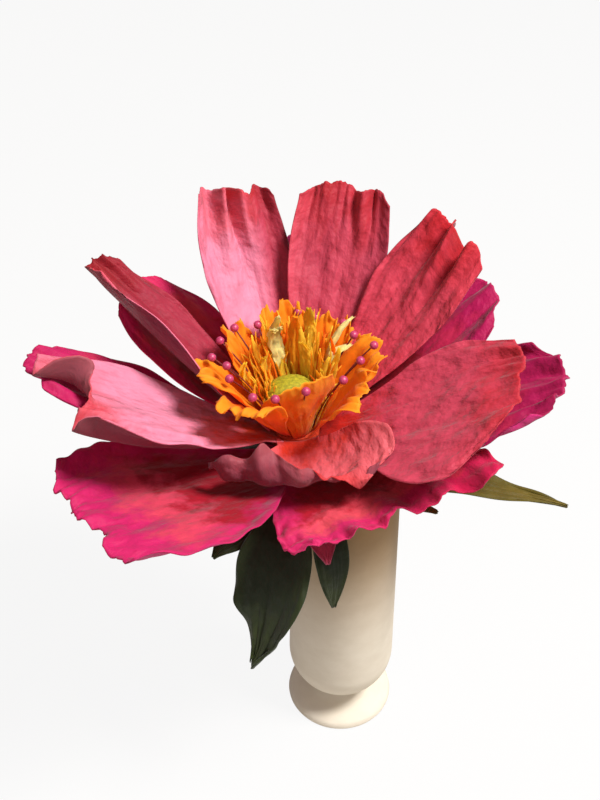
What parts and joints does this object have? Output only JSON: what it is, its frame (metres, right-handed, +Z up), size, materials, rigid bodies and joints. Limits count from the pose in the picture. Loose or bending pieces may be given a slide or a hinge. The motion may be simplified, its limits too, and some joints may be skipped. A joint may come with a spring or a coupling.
{
  "type": "crepe paper peony",
  "caption": "Crepe paper peony with layered dished petals, a fringed centre with beaded wires and paper leaves, standing in a small white footed vase.",
  "frame": {"origin": "centre of the underside of the vase's foot", "axes": "+Z up along the vase's axis, +X towards the long pale leaf, -Y towards the viewer"},
  "size_m": [0.2162, 0.1762, 0.2551],
  "materials": {
    "petal_inner": "matte crepe",
    "petal_outer": "matte crepe",
    "petaloid": "matte crepe",
    "fringe": "matte crepe",
    "seed_head": "matte crepe",
    "bead": "satin",
    "leaf": "matte crepe",
    "leaf_light": "matte crepe",
    "sepal": "matte crepe",
    "sepal_pink": "matte crepe",
    "bud": "matte tape",
    "stem": "matte tape",
    "vase": "matte"
  },
  "bodies": {
    "root": {"vase": "vase", "stem": "stem", "bud": "bud", "seed_head": "seed_head", "fringe_outer": "fringe", "fringe_inner": "fringe", "bead_1": "bead", "bead_2": "bead", "bead_3": "bead", "bead_4": "bead", "bead_5": "bead", "bead_6": "bead", "bead_7": "bead", "bead_8": "bead", "bead_9": "bead", "bead_10": "bead", "bead_11": "bead", "bead_12": "bead", "bead_13": "bead", "bead_14": "bead", "bead_15": "bead", "bead_16": "bead", "petaloid_1": "petaloid", "petaloid_2": "petaloid", "petaloid_3": "petaloid", "petaloid_4": "petaloid", "petaloid_5": "petaloid", "petaloid_6": "petaloid", "petaloid_7": "petaloid", "petaloid_8": "petaloid", "petal_inner_back_left": "petal_inner", "petal_inner_back": "petal_inner", "petal_inner_back_right": "petal_inner", "petal_inner_right": "petal_inner", "petal_inner_front": "petal_inner", "petal_inner_left": "petal_inner", "petal_inner_upper_left": "petal_inner", "petal_outer_back_right": "petal_outer", "petal_outer_right": "petal_outer", "petal_outer_front": "petal_outer", "petal_outer_front_left": "petal_outer", "petal_outer_left": "petal_outer", "petal_outer_upper_left": "petal_outer", "petal_outer_back": "petal_outer", "sepal_1": "sepal", "sepal_2": "sepal", "sepal_3": "sepal", "sepal_4": "sepal_pink", "leaf_front_left": "leaf", "leaf_side_lobe": "leaf", "leaf_front": "leaf", "leaf_right": "leaf_light", "leaf_right_small": "leaf_light"}
  },
  "joints": []
}
